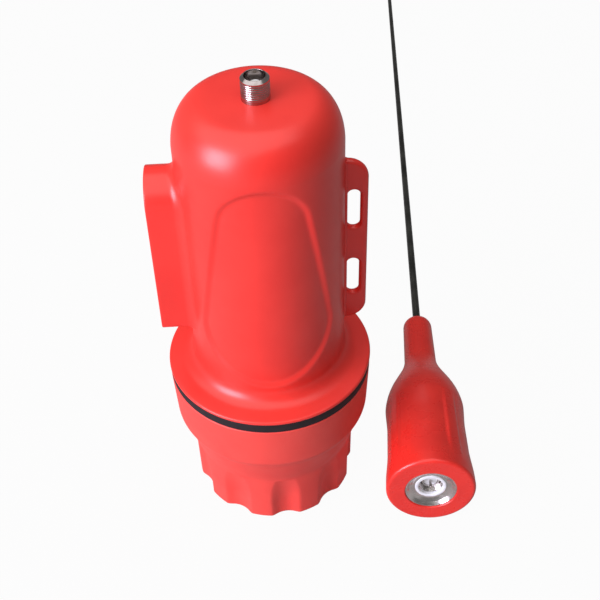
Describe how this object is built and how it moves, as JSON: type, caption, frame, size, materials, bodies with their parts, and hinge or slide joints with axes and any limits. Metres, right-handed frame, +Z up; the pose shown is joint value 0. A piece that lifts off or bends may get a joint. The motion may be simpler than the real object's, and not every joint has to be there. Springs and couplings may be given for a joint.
{
  "type": "fishing net marker buoy",
  "caption": "Small red marker buoy: domed hull with an arched front panel, slotted strap ear and side pod, screwed into a grooved base cap, with its whip antenna laid beside it.",
  "frame": {"origin": "centre of the base cap's flat bottom, on the floor it stands on", "axes": "+Z up along the hull's axis, out of the antenna jack; the arched front panel faces -Y; the slotted strap ear points along +X and the side pod along -X"},
  "size_m": [0.1622, 0.5601, 0.2178],
  "materials": {
    "red_plastic": "satin moulded red plastic",
    "boot_plastic": "satin moulded red plastic, a little more orange",
    "black_rubber": "matt black seal",
    "battery_wrap": "dark shrink wrap",
    "nickel": "bright nickel plate",
    "white_insulator": "smooth white insulator",
    "contact_metal": "plated contact",
    "whip_steel": "dark coated spring steel"
  },
  "bodies": {
    "base": {"base_cap": "red_plastic", "battery_pack": "battery_wrap"},
    "seal": {"seal_ring": "black_rubber"},
    "housing": {"collar": "red_plastic", "hull": "red_plastic", "strap_ear": "red_plastic", "side_pod": "red_plastic", "jack_barrel": "nickel", "jack_insulator": "white_insulator", "jack_contact": "contact_metal"},
    "antenna": {"antenna_boot": "boot_plastic", "coupling_nut": "nickel", "plug_gasket": "white_insulator", "plug_ferrule": "nickel", "plug_insulator": "white_insulator", "plug_pin": "nickel", "whip_rod": "whip_steel"}
  },
  "joints": [
    {"name": "housing_rise", "type": "slide", "parent": "base", "child": "seal", "axis": [0, 0, 1], "range_m": [0, 0.013]},
    {"name": "housing_unscrew", "type": "hinge", "parent": "seal", "child": "housing", "pos_m": [0, 0, 0.0755], "axis": [0, 0, 1], "range_deg": [0, 1170]},
    {"name": "antenna_lift", "type": "slide", "parent": "base", "child": "antenna", "axis": [0, 0, 1], "range_m": [0, 0.25]}
  ],
  "couplings": [
    {"joint": "housing_rise", "follows": "housing_unscrew", "m_per_rad": 0.0006366}
  ]
}
